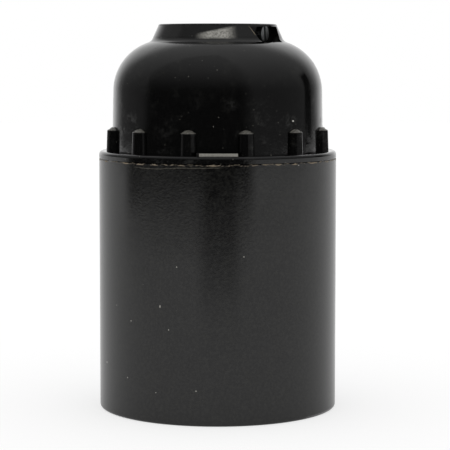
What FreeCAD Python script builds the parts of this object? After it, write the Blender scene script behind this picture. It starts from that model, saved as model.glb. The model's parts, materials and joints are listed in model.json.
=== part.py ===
import FreeCAD, Part
import Sketcher
import math
import os
from FreeCAD import Placement, Rotation, Vector

# Screw-cap lamp holder with a plain skirt, in millimetres.
# Z is the axis of the lamp, zero at the open rim; the front is minus Y.
# A moulded cap screws into a moulded skirt. Between them they clamp a porcelain
# insert that carries the brass screw shell, the centre contact and two terminals.

# Driving dimensions. Change these; everything below follows from them.
DRIVING = {
    "overall_height": 64.6,
    "parting_height": 42.2,
    "parting_gap": 0.15,
    # lamp screw shell, the size that the rest is built round
    "lamp_pitch": 3.629,
    "shell_crest_radius": 13.28,
    "shell_wave_depth": 1.1,
    "sheet": 0.4,
    "shell_mouth": 7.5,
    "collar_step": 0.17,
    "collar_height": 3.3,
    "collar_overlap": 0.6,
    "fixing_inset": 1.98,
    "fixing_land": 1.9,
    # skirt, from the shell outwards
    "shell_clearance": 0.72,
    "ledge_width": 2.2,
    "ledge_top": 29.0,
    "ledge_thickness": 2.4,
    "mouth_wall": 2.38,
    "skirt_wall": 2.4,
    "skirt_wall_draft": 0.3,
    "rim_rounding": 0.5,
    # coarse moulded thread between cap and skirt
    "joint_pitch": 2.4,
    "joint_depth": 0.8,
    "joint_root_half_width": 0.45,
    "joint_flank_rise": 0.4,
    "joint_axial_clearance": 0.2,
    "joint_radial_clearance": 0.22,
    "joint_runout": 1.2,
    # cap
    "spigot_wall": 1.3,
    "flange_height": 1.2,
    "flange_width": 2.4,
    "flange_rounding": 0.55,
    "dome_foot_draft": 0.2,
    "dome_wall": 2.6,
    "shoulder_drop": 8.2,
    "neck_height": 3.05,
    "neck_wall": 3.5,
    "neck_flare": 0.85,
    "neck_root_rise": 0.9,
    "neck_root_arc": 1.3,
    "neck_edge": 0.3,
    "boss_wall": 2.0,
    "boss_drop": 1.8,
    "boss_draft": 0.2,
    # ribs and gate pad on the ledge of the cap
    "rib_count": 12,
    "rib_radius": 1.42,
    "rib_height": 4.1,
    "rib_proud": 0.1,
    "rib_sink": 0.2,
    "rib_draft": 0.12,
    "rib_crown": 0.4,
    "rib_rounding": 0.3,
    "gate_width": 6.6,
    "gate_height": 0.6,
    "gate_reach": 1.7,
    "gate_sink": 1.0,
    # porcelain insert
    "disc_thickness": 4.3,
    "block_gap": 1.4,
    "block_half_depth": 7.0,
    "block_height": 6.2,
    "barrier_half_width": 2.4,
    "barrier_height": 9.2,
    "barrier_inset": 2.2,
    "bay_floor": 1.7,
    "bay_half_width": 4.3,
    "bay_wall": 0.7,
    "well_depth": 2.0,
    "well_half_width": 3.9,
    "well_reach": 6.5,
    # centre contact
    "contact_half_width": 3.0,
    "contact_strip": 0.5,
    "contact_fold": 3.0,
    "contact_screw_place": 5.6,
    "contact_foot_land": 2.4,
    "contact_drop": 2.0,
    "contact_tip_half": 1.7,
    "contact_tail": 4.8,
    "contact_tail_rise": 0.9,
    "button_radius": 1.9,
    "button_height": 0.8,
    "button_shank_radius": 0.9,
    "button_peen_radius": 1.4,
    "button_peen_height": 0.3,
    # small screws and rivets
    "fixing_shank_radius": 1.25,
    "fixing_head_radius": 1.8,
    "fixing_head_height": 0.9,
    "fixing_slot_width": 0.56,
    "rivet_shank_radius": 1.2,
    "rivet_bore_radius": 0.7,
    "rivet_head_radius": 1.8,
    "rivet_head_height": 0.5,
    "small_edge": 0.25,
    "hole_clearance": 0.15,
    "turning_clearance": 0.05,
    # terminals
    "terminal_thickness": 2.2,
    "terminal_half_width": 3.6,
    "terminal_edge": 1.8,
    "terminal_rim": 1.1,
    "terminal_skin": 0.4,
    "clamp_shank_radius": 1.75,
    "clamp_head_radius": 2.9,
    "clamp_head_height": 2.2,
    "clamp_shank_length": 4.0,
    "clamp_slot_width": 0.8,
    "clamp_slot_depth": 1.1,
    "clamp_edge": 0.4,
    "clamp_tip_room": 0.6,
    "washer_half": 3.0,
    "washer_thickness": 0.8,
    # threaded bush in the neck and its locking screw
    "bush_radius": 6.5,
    "bush_bore_radius": 4.46,
    "bush_height": 7.2,
    "bush_recess": 0.2,
    "bush_groove_depth": 0.6,
    "bush_groove_start": 2.6,
    "bush_groove_width": 1.2,
    "bush_chamfer": 0.5,
    "lock_azimuth": 60.0,
    "lock_slot_lean": 8.0,
    "lock_drop": 1.65,
    "lock_radius": 1.3,
    "lock_tip_radius": 0.8,
    "lock_tip_inset": 0.2,
    "lock_slot_width": 0.6,
    "lock_slot_depth": 0.7,
    "lock_proud": 0.6,
    "recess_azimuth": 54.0,
    "recess_depth_in_neck": 1.5,
    "recess_top_half": 3.9,
    "recess_foot_half": 2.8,
    "recess_top_below": 0.45,
}

# Dimensions worked out from the driving ones by the sheet.
DERIVED = {
    "zero": "=0",
    # radii, from the lamp shell outwards
    "shell_outer_radius": "=shell_crest_radius + sheet",
    "collar_radius": "=shell_crest_radius + collar_step",
    "fixing_circle": "=shell_crest_radius - fixing_inset",
    "shell_opening_radius": "=fixing_circle - fixing_land",
    "ledge_hole_radius": "=shell_outer_radius + shell_clearance",
    "disc_radius": "=ledge_hole_radius + ledge_width",
    "nut_minor_radius": "=disc_radius + joint_radial_clearance",
    "joint_root_radius": "=nut_minor_radius - joint_radial_clearance",
    "joint_major_radius": "=joint_root_radius + joint_depth",
    "nut_root_radius": "=joint_major_radius + joint_radial_clearance",
    "skirt_radius": "=nut_root_radius + mouth_wall",
    "cavity_radius": "=joint_root_radius - spigot_wall",
    "dome_radius": "=skirt_radius - flange_width",
    "dome_foot_radius": "=dome_radius + dome_foot_draft",
    # skirt
    "skirt_top": "=parting_height - parting_gap",
    "skirt_inner_rim": "=skirt_radius - skirt_wall",
    "skirt_inner_top": "=skirt_inner_rim - skirt_wall_draft",
    "ledge_bottom": "=ledge_top - ledge_thickness",
    "rim_outer_round": "=skirt_radius - rim_rounding",
    "disc_top": "=ledge_top + disc_thickness",
    # cap
    "flange_top": "=parting_height + flange_height",
    "flange_round_start": "=flange_top - flange_rounding",
    "flange_round_end": "=skirt_radius - flange_rounding",
    "neck_foot": "=overall_height - neck_height",
    "dome_start": "=neck_foot - shoulder_drop",
    "bush_top": "=overall_height - bush_recess",
    "neck_top_radius": "=bush_radius + neck_wall",
    "neck_root_radius": "=neck_top_radius + neck_flare",
    "shoulder_radius": "=neck_root_radius + neck_flare",
    "shoulder_run": "=dome_radius - shoulder_radius",
    "dome_arc": "=(shoulder_run * shoulder_run + shoulder_drop * shoulder_drop)"
                " / (2 * shoulder_run)",
    "neck_root_height": "=neck_foot + neck_root_rise",
    "neck_edge_height": "=overall_height - neck_edge",
    "neck_edge_radius": "=neck_top_radius - neck_edge",
    "cavity_shoulder_radius": "=shoulder_radius - dome_wall / 2",
    "cavity_shoulder": "=neck_foot - dome_wall",
    "cavity_run": "=cavity_radius - cavity_shoulder_radius",
    "cavity_rise": "=cavity_shoulder - dome_start",
    "cavity_arc": "=(cavity_run * cavity_run + cavity_rise * cavity_rise) / (2 * cavity_run)",
    "boss_radius": "=bush_radius + boss_wall",
    "boss_foot": "=cavity_shoulder - boss_drop",
    "boss_foot_radius": "=boss_radius - boss_draft",
    # neck bush
    "bush_foot": "=bush_top - bush_height",
    "bush_groove_radius": "=bush_radius - bush_groove_depth",
    "bush_groove_low": "=bush_foot + bush_groove_start",
    "bush_groove_high": "=bush_groove_low + bush_groove_width",
    "bush_chamfer_radius": "=bush_bore_radius + bush_chamfer",
    "bush_chamfer_top": "=bush_top - bush_chamfer",
    "bush_chamfer_foot": "=bush_foot + bush_chamfer",
    # ribs and gate pad
    "rib_circle": "=dome_radius + rib_proud",
    "rib_top": "=flange_top + rib_height",
    "rib_foot": "=flange_top - rib_sink",
    "rib_foot_edge": "=rib_circle + rib_radius",
    "rib_round_edge": "=rib_foot_edge - rib_draft",
    "rib_shoulder": "=rib_top - rib_crown",
    "rib_round_start": "=rib_shoulder - rib_rounding",
    "rib_top_edge": "=rib_round_edge - rib_rounding",
    "rib_top_half": "=rib_top_edge - rib_circle",
    "rib_crown_radius": "=(rib_top_half * rib_top_half + rib_crown * rib_crown) / (2 * rib_crown)",
    "gate_half": "=gate_width / 2",
    "gate_half_left": "=-gate_half",
    "gate_front": "=-(dome_foot_radius + gate_reach)",
    "gate_back": "=-(dome_foot_radius - gate_sink)",
    # thread forms: the cut runs a little past the wall that it is made in
    "form_over": "=joint_radial_clearance",
    "flank_slope": "=joint_flank_rise / joint_depth",
    "joint_cut_radius": "=joint_major_radius + form_over",
    "joint_cut_half": "=joint_root_half_width + flank_slope * (joint_depth + form_over)",
    "joint_first": "=disc_top - joint_pitch",
    "joint_root_low": "=joint_first - joint_root_half_width",
    "joint_root_high": "=joint_first + joint_root_half_width",
    "joint_cut_low": "=joint_first - joint_cut_half",
    "joint_cut_high": "=joint_first + joint_cut_half",
    "joint_length": "=parting_height - joint_runout - joint_cut_half - joint_first",
    "nut_cut_radius": "=nut_minor_radius - form_over",
    "nut_half_at_root": "=joint_pitch / 2 + joint_axial_clearance - joint_root_half_width",
    "nut_root_half": "=nut_half_at_root - flank_slope * (nut_root_radius - joint_root_radius)",
    "nut_cut_half": "=nut_half_at_root - flank_slope * (nut_cut_radius - joint_root_radius)",
    "nut_first": "=joint_first + joint_pitch / 2",
    "nut_root_low": "=nut_first - nut_root_half",
    "nut_root_high": "=nut_first + nut_root_half",
    "nut_cut_low": "=nut_first - nut_cut_half",
    "nut_cut_high": "=nut_first + nut_cut_half",
    "nut_length": "=skirt_top + joint_pitch - nut_first",
    "nut_relief": "=joint_first + joint_length - joint_cut_half - joint_axial_clearance",
    # porcelain insert
    "block_radius": "=cavity_radius - block_gap",
    "block_back": "=-block_half_depth",
    "block_top": "=disc_top + block_height",
    "half_block": "=sqrt(block_radius * block_radius - block_half_depth * block_half_depth)",
    "half_block_left": "=-half_block",
    "barrier_left": "=-barrier_half_width",
    "barrier_front": "=block_radius - barrier_inset",
    "barrier_back": "=-barrier_front",
    "bay_start": "=barrier_half_width + bay_wall",
    "bay_level": "=disc_top + bay_floor",
    "bay_depth": "=block_height - bay_floor",
    "bay_rise": "=disc_thickness + bay_floor",
    "bay_reach": "=block_radius + 1",
    "bay_back": "=-bay_half_width",
    "bay_left_start": "=-bay_start",
    "bay_left_reach": "=-bay_reach",
    "well_left": "=-well_reach",
    "well_right": "=contact_fold",
    "well_back": "=-well_half_width",
    # shell flange and centre contact
    "flange_under": "=ledge_top - sheet",
    "strip_under": "=ledge_top - contact_strip",
    "tip_low": "=ledge_top - contact_drop",
    "tip_high": "=tip_low + contact_strip",
    "tip_left": "=-contact_tip_half",
    "tail_end": "=-contact_tail",
    "tail_low": "=tip_low + contact_tail_rise",
    "tail_high": "=tail_low + contact_strip",
    "fold_under": "=contact_fold - contact_strip * 0.3",
    "contact_foot_end": "=contact_screw_place + contact_foot_land",
    "contact_width": "=2 * contact_half_width",
    "button_low": "=tip_low - button_height",
    "button_face_radius": "=button_radius * 0.45",
    "button_edge": "=tip_low - button_height * 0.3",
    "button_dome": "=button_radius * 1.2",
    "peen_top": "=tip_high + button_peen_height",
    "peen_edge_radius": "=button_peen_radius - 0.2",
    # rivets and fixing screws
    "rivet_x": "=fixing_circle * 0.5",
    "rivet_y": "=fixing_circle * 0.866025",
    "rivet_y_back": "=-rivet_y",
    "rivet_hole_radius": "=rivet_shank_radius + hole_clearance",
    "rivet_low": "=flange_under - rivet_head_height",
    "rivet_low_edge": "=rivet_low + small_edge",
    "rivet_high": "=disc_top + rivet_head_height",
    "rivet_high_edge": "=rivet_high - small_edge",
    "rivet_head_edge": "=rivet_head_radius - small_edge",
    "fixing_left": "=-fixing_circle",
    "fixing_hole_radius": "=fixing_shank_radius + hole_clearance",
    "fixing_head_edge": "=fixing_head_radius - small_edge",
    "strip_under_low": "=strip_under - fixing_head_height",
    "strip_under_edge": "=strip_under_low + small_edge",
    "flange_under_low": "=flange_under - fixing_head_height",
    "flange_under_edge": "=flange_under_low + small_edge",
    "fixing_end": "=bay_level + tap_depth - hole_clearance",
    "fixing_slot": "=fixing_slot_width / 2",
    "fixing_slot_left": "=-fixing_slot",
    "fixing_slot_depth": "=fixing_head_height / 2",
    "fixing_head_radius_left": "=-fixing_head_radius",
    # terminals
    "terminal_top": "=bay_level + terminal_thickness",
    "terminal_front": "=terminal_half_width",
    "terminal_back": "=-terminal_half_width",
    "tap_depth": "=terminal_thickness - terminal_skin",
    "live_near": "=contact_screw_place - terminal_edge",
    "live_far": "=block_radius - terminal_rim",
    "neutral_near": "=-(bay_start + 2 * terminal_skin)",
    "neutral_far": "=-(fixing_circle + terminal_edge)",
    "clamp_live": "=live_far - washer_half",
    "clamp_neutral": "=neutral_near - washer_half - terminal_skin",
    "clamp_tap_radius": "=clamp_shank_radius + turning_clearance",
    "clamp_relief_radius": "=clamp_shank_radius + 2 * hole_clearance",
    "clamp_relief_depth": "=clamp_shank_length + clamp_tip_room - washer_thickness"
                          " - terminal_thickness",
    "washer_left": "=-washer_half",
    "washer_top": "=terminal_top + washer_thickness",
    "clamp_end": "=washer_top - clamp_shank_length",
    "clamp_end_edge": "=clamp_end + small_edge",
    "clamp_point": "=clamp_shank_radius - small_edge",
    "clamp_head_top": "=washer_top + clamp_head_height",
    "clamp_head_edge": "=clamp_head_top - clamp_edge",
    "clamp_head_top_radius": "=clamp_head_radius - clamp_edge",
    "clamp_head_radius_left": "=-clamp_head_radius",
    "clamp_slot": "=clamp_slot_width / 2",
    "clamp_slot_left": "=-clamp_slot",
    # locking screw and its pocket
    "lock_height": "=overall_height - lock_drop",
    "lock_hole_radius": "=lock_radius + turning_clearance",
    "recess_floor": "=neck_top_radius - recess_depth_in_neck",
    "lock_outer_end": "=recess_floor + lock_proud",
    "lock_inner_end": "=bush_bore_radius + lock_tip_inset",
    "lock_length": "=lock_outer_end - lock_inner_end",
    "lock_tip_height": "=lock_radius - lock_tip_radius",
    "lock_slot": "=lock_slot_width / 2",
    "lock_slot_left": "=-lock_slot",
    "lock_radius_left": "=-lock_radius",
    "recess_top": "=overall_height - recess_top_below",
    "recess_top_left": "=-recess_top_half",
    "recess_foot_left": "=-recess_foot_half",
    "recess_start": "=neck_root_radius + 2 * neck_flare",
    "recess_depth": "=recess_start - recess_floor",
    "lock_hole_depth": "=recess_start - bush_bore_radius / 2",
}

doc = FreeCAD.newDocument("LampHolder")
sheet = doc.addObject("Spreadsheet::Sheet", "Sizes")
for row, (alias, value) in enumerate({**DRIVING, **DERIVED}.items(), start=1):
    sheet.set("A%d" % row, alias)
    sheet.set("B%d" % row, str(value))
    sheet.setAlias("B%d" % row, alias)
doc.recompute()


def size(alias):
    """Value of a sheet cell, as a plain number."""
    return float(sheet.get(alias))


def bind(thing, prop, alias):
    """Drive a property of a document object from the sheet."""
    thing.setExpression(prop, "Sizes." + alias)


def new_body(name):
    body = doc.addObject("PartDesign::Body", name)
    body.Label = name
    return body


def new_sketch(body, name, role="XZ_Plane", offset=None, turn=0.0):
    """Sketch on an origin plane, moved along the plane normal by a sheet value.

    turn swings an upright sketch about the lamp axis, in degrees.
    """
    sketch = body.newObject("Sketcher::SketchObject", name)
    plane = [feature for feature in body.Origin.OriginFeatures if feature.Role == role][0]
    sketch.AttachmentSupport = [(plane, "")]
    sketch.MapMode = "FlatFace"
    swing = Rotation(Vector(0, 1, 0), turn)
    if offset is None:
        sketch.AttachmentOffset = Placement(Vector(0, 0, 0), swing)
    elif turn:
        sketch.AttachmentOffset = Placement(swing.multVec(Vector(0, 0, size(offset))), swing)
    else:
        bind(sketch, "AttachmentOffset.Base.z", offset)
    return sketch


def place_vertex(sketch, geometry, vertex, x, y):
    """Fix a vertex to the sketch origin with two distances from the sheet."""
    for kind, alias, axis in (("DistanceX", x, -2), ("DistanceY", y, -1)):
        if size(alias) == 0:
            sketch.addConstraint(Sketcher.Constraint("PointOnObject", geometry, vertex, axis))
        else:
            constraint = Sketcher.Constraint(kind, -1, 1, geometry, vertex, size(alias))
            number = sketch.addConstraint(constraint)
            bind(sketch, "Constraints[%d]" % number, alias)


def arc_between(start, end, radius, left):
    """Arc shorter than a half turn, with its centre left or right of the way."""
    chord = end - start
    middle = (start + end) * 0.5
    side = Vector(-chord.y, chord.x, 0).normalize()
    if not left:
        side = side * -1
    centre = middle + side * math.sqrt(radius ** 2 - chord.Length ** 2 / 4)
    first, second = (start, end) if left else (end, start)
    angles = [math.atan2(point.y - centre.y, point.x - centre.x) for point in (first, second)]
    circle = Part.Circle(centre, Vector(0, 0, 1), radius)
    return Part.ArcOfCircle(circle, angles[0], angles[1])


def outline(sketch, corners):
    """Closed outline through corners named in the sheet.

    A corner is (x, y), or (x, y, radius, left) when an arc runs from it to the
    next corner, with its centre on the left of the way if left is True.
    """
    points = [Vector(size(corner[0]), size(corner[1]), 0) for corner in corners]
    ends = []
    for number, corner in enumerate(corners):
        start = points[number]
        end = points[(number + 1) % len(points)]
        if len(corner) == 2:
            sketch.addGeometry(Part.LineSegment(start, end), False)
            ends.append((1, 2))
        else:
            sketch.addGeometry(arc_between(start, end, size(corner[2]), corner[3]), False)
            ends.append((1, 2) if corner[3] else (2, 1))
    for number, corner in enumerate(corners):
        following = (number + 1) % len(corners)
        meet = Sketcher.Constraint(
            "Coincident", number, ends[number][1], following, ends[following][0])
        sketch.addConstraint(meet)
        place_vertex(sketch, number, ends[number][0], corner[0], corner[1])
        if len(corner) == 4:
            radius = Sketcher.Constraint("Radius", number, size(corner[2]))
            bind(sketch, "Constraints[%d]" % sketch.addConstraint(radius), corner[2])


def rectangle(sketch, left, right, low, high):
    outline(sketch, [(left, low), (right, low), (right, high), (left, high)])


def circle(sketch, x, y, radius):
    """Circle on named coordinates."""
    shape = Part.Circle(Vector(size(x), size(y), 0), Vector(0, 0, 1), size(radius))
    number = sketch.addGeometry(shape, False)
    place_vertex(sketch, number, 3, x, y)
    constraint = Sketcher.Constraint("Radius", number, size(radius))
    bind(sketch, "Constraints[%d]" % sketch.addConstraint(constraint), radius)


def revolve(body, name, sketch):
    feature = body.newObject("PartDesign::Revolution", name)
    feature.Profile = sketch
    feature.ReferenceAxis = (sketch, ["V_Axis"])
    feature.Angle = 360
    return feature


def extrude(body, kind, name, sketch, length, symmetric=False, reverse=False):
    """Pad or Pocket whose length is a sheet value."""
    feature = body.newObject("PartDesign::" + kind, name)
    feature.Profile = sketch
    bind(feature, "Length", length)
    feature.Reversed = reverse
    if symmetric:
        feature.SideType = "Symmetric"
    return feature


def helix(body, kind, name, sketch, pitch, height):
    """Sweep a thread form round the lamp axis, right handed."""
    feature = body.newObject("PartDesign::" + kind, name)
    feature.Profile = sketch
    feature.ReferenceAxis = (sketch, ["V_Axis"])
    feature.Mode = 0
    bind(feature, "Pitch", pitch)
    bind(feature, "Height", height)
    return feature


# Cap: neck, dome, ledge and threaded spigot, turned as one outline.
cap = new_body("cap_dome")
cap_outline = new_sketch(cap, "CapOutline")
outline(cap_outline, [
    ("cavity_radius", "disc_top"),
    ("joint_major_radius", "disc_top"),
    ("joint_major_radius", "parting_height"),
    ("skirt_radius", "parting_height"),
    ("skirt_radius", "flange_round_start", "flange_rounding", True),
    ("flange_round_end", "flange_top"),
    ("dome_foot_radius", "flange_top"),
    ("dome_radius", "dome_start", "dome_arc", True),
    ("shoulder_radius", "neck_foot", "neck_root_arc", False),
    ("neck_root_radius", "neck_root_height"),
    ("neck_top_radius", "neck_edge_height", "neck_edge", True),
    ("neck_edge_radius", "overall_height"),
    ("bush_radius", "overall_height"),
    ("bush_radius", "bush_groove_high"),
    ("bush_groove_radius", "bush_groove_high"),
    ("bush_groove_radius", "bush_groove_low"),
    ("bush_radius", "bush_groove_low"),
    ("bush_radius", "boss_foot"),
    ("boss_foot_radius", "boss_foot"),
    ("boss_radius", "cavity_shoulder"),
    ("cavity_shoulder_radius", "cavity_shoulder", "cavity_arc", False),
    ("cavity_radius", "dome_start"),
])
revolve(cap, "CapTurned", cap_outline)

# Half-round finger ribs with crowned tops stand on the ledge against the dome.
rib_outline = new_sketch(cap, "RibOutline", turn=180.0 / size("rib_count"))
outline(rib_outline, [
    ("rib_circle", "rib_foot"),
    ("rib_foot_edge", "rib_foot"),
    ("rib_round_edge", "rib_round_start", "rib_rounding", True),
    ("rib_top_edge", "rib_shoulder", "rib_crown_radius", True),
    ("rib_circle", "rib_top"),
])
rib_axis = rib_outline.addGeometry(
    Part.LineSegment(Vector(size("rib_circle"), 0, 0), Vector(size("rib_circle"), size("rib_top"), 0)), True)
rib_outline.addConstraint(Sketcher.Constraint("Vertical", rib_axis))
rib = cap.newObject("PartDesign::Revolution", "Rib")
rib.Profile = rib_outline
rib.ReferenceAxis = (rib_outline, ["Axis0"])
rib.Angle = 360
rib_ring = cap.newObject("PartDesign::PolarPattern", "RibRing")
rib_ring.Originals = [rib]
rib_ring.Axis = (cap_outline, ["V_Axis"])
rib_ring.Angle = 360
rib_ring.Occurrences = int(size("rib_count"))
cap.Tip = rib_ring

# Raised gate pad of the moulding, on the ledge at the front.
gate_outline = new_sketch(cap, "GateOutline", "XY_Plane", "flange_top")
rectangle(gate_outline, "gate_half_left", "gate_half", "gate_front", "gate_back")
extrude(cap, "Pad", "GatePad", gate_outline, "gate_height")

# Pocket in the neck, and the hole of the locking screw through it.
recess_outline = new_sketch(cap, "RecessOutline", "XZ_Plane", "recess_start",
                            size("recess_azimuth"))
outline(recess_outline, [
    ("recess_foot_left", "neck_foot"),
    ("recess_foot_half", "neck_foot"),
    ("recess_top_half", "recess_top"),
    ("recess_top_left", "recess_top"),
])
extrude(cap, "Pocket", "Recess", recess_outline, "recess_depth")
lock_hole_outline = new_sketch(cap, "LockHoleOutline", "XZ_Plane", "recess_start",
                               size("lock_azimuth"))
circle(lock_hole_outline, "zero", "lock_height", "lock_hole_radius")
extrude(cap, "Pocket", "LockHole", lock_hole_outline, "lock_hole_depth")

# Coarse moulded thread on the spigot.
spigot_form = new_sketch(cap, "SpigotForm")
outline(spigot_form, [
    ("joint_cut_radius", "joint_cut_low"),
    ("joint_root_radius", "joint_root_low"),
    ("joint_root_radius", "joint_root_high"),
    ("joint_cut_radius", "joint_cut_high"),
])
helix(cap, "SubtractiveHelix", "SpigotThread", spigot_form, "joint_pitch", "joint_length")

# Skirt: wall, seat ledge for the insert and threaded mouth, turned as one outline.
skirt = new_body("skirt")
skirt_outline = new_sketch(skirt, "SkirtOutline")
outline(skirt_outline, [
    ("skirt_inner_rim", "zero"),
    ("rim_outer_round", "zero", "rim_rounding", True),
    ("skirt_radius", "rim_rounding"),
    ("skirt_radius", "skirt_top"),
    ("nut_root_radius", "skirt_top"),
    ("nut_root_radius", "nut_relief"),
    ("nut_minor_radius", "nut_relief"),
    ("nut_minor_radius", "ledge_top"),
    ("ledge_hole_radius", "ledge_top"),
    ("ledge_hole_radius", "ledge_bottom"),
    ("skirt_inner_top", "ledge_bottom"),
])
revolve(skirt, "SkirtTurned", skirt_outline)
nut_form = new_sketch(skirt, "NutForm")
outline(nut_form, [
    ("nut_cut_radius", "nut_cut_low"),
    ("nut_root_radius", "nut_root_low"),
    ("nut_root_radius", "nut_root_high"),
    ("nut_cut_radius", "nut_cut_high"),
])
helix(skirt, "SubtractiveHelix", "NutThread", nut_form, "joint_pitch", "nut_length")

# Porcelain insert: round disc, terminal block with two bays, barrier between them.
insert = new_body("porcelain_insert")
disc_outline = new_sketch(insert, "DiscOutline", "XY_Plane", "ledge_top")
circle(disc_outline, "zero", "zero", "disc_radius")
extrude(insert, "Pad", "Disc", disc_outline, "disc_thickness")
block_outline = new_sketch(insert, "BlockOutline", "XY_Plane", "disc_top")
outline(block_outline, [
    ("half_block_left", "block_back"),
    ("half_block", "block_back", "block_radius", True),
    ("half_block", "block_half_depth"),
    ("half_block_left", "block_half_depth", "block_radius", True),
])
extrude(insert, "Pad", "Block", block_outline, "block_height")
barrier_outline = new_sketch(insert, "BarrierOutline", "XY_Plane", "disc_top")
rectangle(barrier_outline, "barrier_left", "barrier_half_width", "barrier_back", "barrier_front")
extrude(insert, "Pad", "Barrier", barrier_outline, "barrier_height")
for side, near, far in (("Live", "bay_start", "bay_reach"),
                        ("Neutral", "bay_left_start", "bay_left_reach")):
    bay_outline = new_sketch(insert, side + "BayOutline", "XY_Plane", "block_top")
    rectangle(bay_outline, near, far, "bay_back", "bay_half_width")
    extrude(insert, "Pocket", side + "Bay", bay_outline, "bay_depth")

well_outline = new_sketch(insert, "WellOutline", "XY_Plane", "ledge_top")
rectangle(well_outline, "well_left", "well_right", "well_back", "well_half_width")
extrude(insert, "Pocket", "ContactWell", well_outline, "well_depth", reverse=True)
for name, place, radius in (("ContactScrewHole", "contact_screw_place", "fixing_hole_radius"),
                            ("ShellScrewHole", "fixing_left", "fixing_hole_radius")):
    hole_outline = new_sketch(insert, name + "Outline", "XY_Plane", "ledge_top")
    circle(hole_outline, place, "zero", radius)
    extrude(insert, "Pocket", name, hole_outline, "bay_rise", reverse=True)
rivet_hole_outline = new_sketch(insert, "RivetHoleOutline", "XY_Plane", "ledge_top")
circle(rivet_hole_outline, "rivet_x", "rivet_y", "rivet_hole_radius")
circle(rivet_hole_outline, "rivet_x", "rivet_y_back", "rivet_hole_radius")
extrude(insert, "Pocket", "RivetHoles", rivet_hole_outline, "disc_thickness", reverse=True)
relief_outline = new_sketch(insert, "ReliefOutline", "XY_Plane", "bay_level")
circle(relief_outline, "clamp_live", "zero", "clamp_relief_radius")
circle(relief_outline, "clamp_neutral", "zero", "clamp_relief_radius")
extrude(insert, "Pocket", "ScrewRelief", relief_outline, "clamp_relief_depth")


def wave_tube(low, high, crest, depth, pitch, fade):
    """Face of revolution pressed into a right-hand wave, as a closed spline surface.

    The wave fades out towards both ends, which stay round.
    """
    around, per_turn = 48, 12
    rows = 2 + math.ceil((high - low) / pitch * per_turn)
    # A cubic spline passes inside its poles by these factors.
    pull = (2 + math.cos(2 * math.pi / around)) / 3
    pull_wave = (2 + math.cos(2 * math.pi / per_turn)) / 3
    poles = []
    for row in range(rows):
        height = low + (high - low) * row / (rows - 1)
        share = min(1.0, max(0.0, min(height - low, high - height) / fade - 0.25))
        share = share * share * (3 - 2 * share)
        ring = []
        for step in range(around):
            angle = 2 * math.pi * step / around
            wave = math.cos(angle - 2 * math.pi * height / pitch) / pull_wave
            radius = (crest - depth / 2 * share * (1 - wave)) / pull
            ring.append(Vector(radius * math.cos(angle), radius * math.sin(angle), height))
        poles.append(ring)
    along = [4] + [1] * (rows - 4) + [4]
    surface = Part.BSplineSurface()
    surface.buildFromPolesMultsKnots(
        poles, along, [1] * (around + 1), list(range(len(along))), list(range(around + 1)),
        False, True, 3, 3)
    return surface.toShape()


def ring_edges(face):
    """Lower and upper end circles of a tube face."""
    closed = [edge for edge in face.Edges if len(edge.Vertexes) == 1]
    return sorted(closed, key=lambda edge: edge.BoundBox.Center.z)


def cylinder(radius, low, high, x=0.0, y=0.0):
    return Part.makeCylinder(radius, high - low, Vector(x, y, low))


# Screw shell: sheet brass rolled to the lamp thread. Two wave faces, one sheet apart,
# and two flat ends make the wall; a plain collar and a bottom flange join it.
shell_low = size("shell_mouth") + size("collar_height") - size("collar_overlap")
shell_high = size("ledge_top") - size("sheet") / 2
inner_wave = wave_tube(shell_low, shell_high, size("shell_crest_radius"),
                       size("shell_wave_depth"), size("lamp_pitch"), size("lamp_pitch") / 2)
outer_wave = wave_tube(shell_low, shell_high, size("shell_outer_radius"),
                       size("shell_wave_depth"), size("lamp_pitch"), size("lamp_pitch") / 2)
ends = [Part.Face([Part.Wire(outer), Part.Wire(inner)], "Part::FaceMakerBullseye")
        for outer, inner in zip(ring_edges(outer_wave), ring_edges(inner_wave))]
wall_shell = Part.makeShell([inner_wave, outer_wave] + ends)
wall_shell.sewShape()
wall = Part.makeSolid(wall_shell)
if wall.Volume < 0:
    wall.reverse()

collar_low = size("shell_mouth")
collar_high = collar_low + size("collar_height")
collar_radius = size("collar_radius")
collar = cylinder(collar_radius + size("sheet"), collar_low, collar_high)
collar = collar.cut(cylinder(collar_radius, collar_low - 1, collar_high + 1))
flange_low = size("flange_under")
bottom = cylinder(size("shell_crest_radius") + size("sheet") / 2, flange_low, size("ledge_top"))
holes = [cylinder(size("shell_opening_radius"), flange_low - 1, size("ledge_top") + 1)]
holes.append(cylinder(size("fixing_hole_radius"), flange_low - 1, size("ledge_top") + 1,
                      size("fixing_left")))
for rivet_y in (size("rivet_y"), size("rivet_y_back")):
    holes.append(cylinder(size("rivet_hole_radius"), flange_low - 1, size("ledge_top") + 1,
                          size("rivet_x"), rivet_y))
shell = doc.addObject("Part::Feature", "screw_shell")
shell.Label = "screw_shell"
shell.Shape = wall.fuse([collar, bottom.cut(holes)])

# Centre contact: a sprung tongue folded from strip, its foot flat on the porcelain.
contact = new_body("centre_contact")
contact_outline = new_sketch(contact, "ContactOutline")
outline(contact_outline, [
    ("contact_foot_end", "ledge_top"),
    ("contact_fold", "ledge_top"),
    ("contact_tip_half", "tip_high"),
    ("tip_left", "tip_high"),
    ("tail_end", "tail_high"),
    ("tail_end", "tail_low"),
    ("tip_left", "tip_low"),
    ("contact_tip_half", "tip_low"),
    ("fold_under", "strip_under"),
    ("contact_foot_end", "strip_under"),
])
extrude(contact, "Pad", "Strip", contact_outline, "contact_width", symmetric=True)
contact_hole = new_sketch(contact, "ContactHole", "XY_Plane", "strip_under")
circle(contact_hole, "contact_screw_place", "zero", "fixing_hole_radius")
extrude(contact, "Pocket", "FootHole", contact_hole, "contact_strip", reverse=True)
button_hole = new_sketch(contact, "ButtonHole", "XY_Plane", "tip_low")
circle(button_hole, "zero", "zero", "button_shank_radius")
extrude(contact, "Pocket", "TipHole", button_hole, "contact_strip", reverse=True)


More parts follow.
